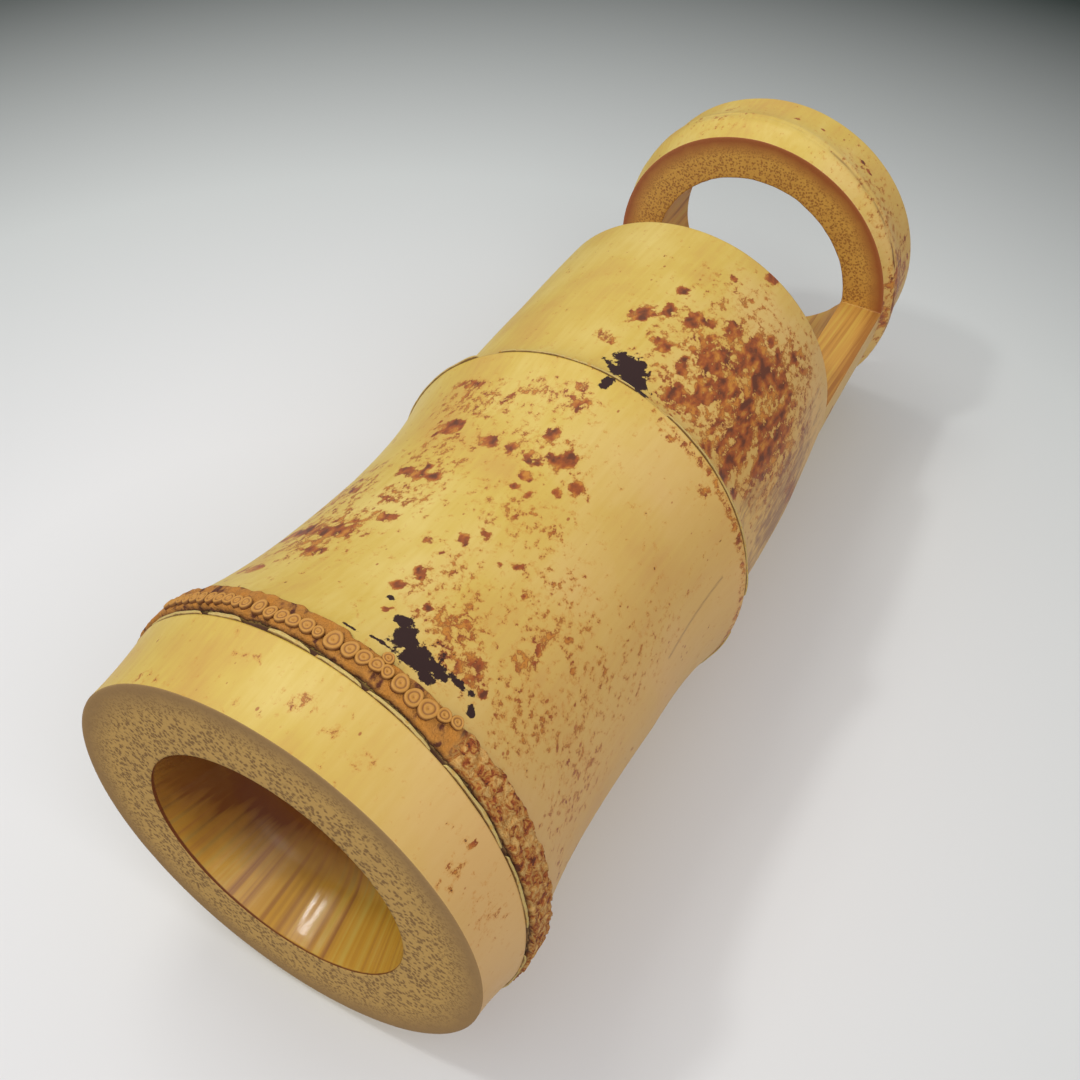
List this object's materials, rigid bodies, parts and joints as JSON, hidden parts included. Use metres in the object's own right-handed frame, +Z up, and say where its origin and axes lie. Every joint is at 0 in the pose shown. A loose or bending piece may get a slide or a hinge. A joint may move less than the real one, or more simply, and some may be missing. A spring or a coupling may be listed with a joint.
{
  "type": "bamboo flower vase",
  "caption": "Bamboo flower vase with a cut-out window, a ring handle on a half-round strap, a hollow foot and a lift-out water liner.",
  "frame": {"origin": "centre of the foot's sawn face, where the vase stands", "axes": "+Z up along the bamboo, -Y towards the window, +Y towards the back strap"},
  "size_m": [0.1279, 0.1281, 0.318],
  "materials": {
    "bamboo": "satin",
    "sheath": "matte",
    "root": "matte",
    "copper": "satin"
  },
  "bodies": {
    "vase": {"culm": "bamboo", "lower_sheath_remnant": "sheath", "upper_sheath_remnant": "sheath", "root_stubs": "root"},
    "water_liner": {"liner_tube": "copper", "liner_base": "copper", "liner_rim_wire": "copper"}
  },
  "joints": [
    {"name": "liner_lift", "type": "slide", "parent": "vase", "child": "water_liner", "axis": [0, 0, 1], "range_m": [0, 0.29]}
  ]
}
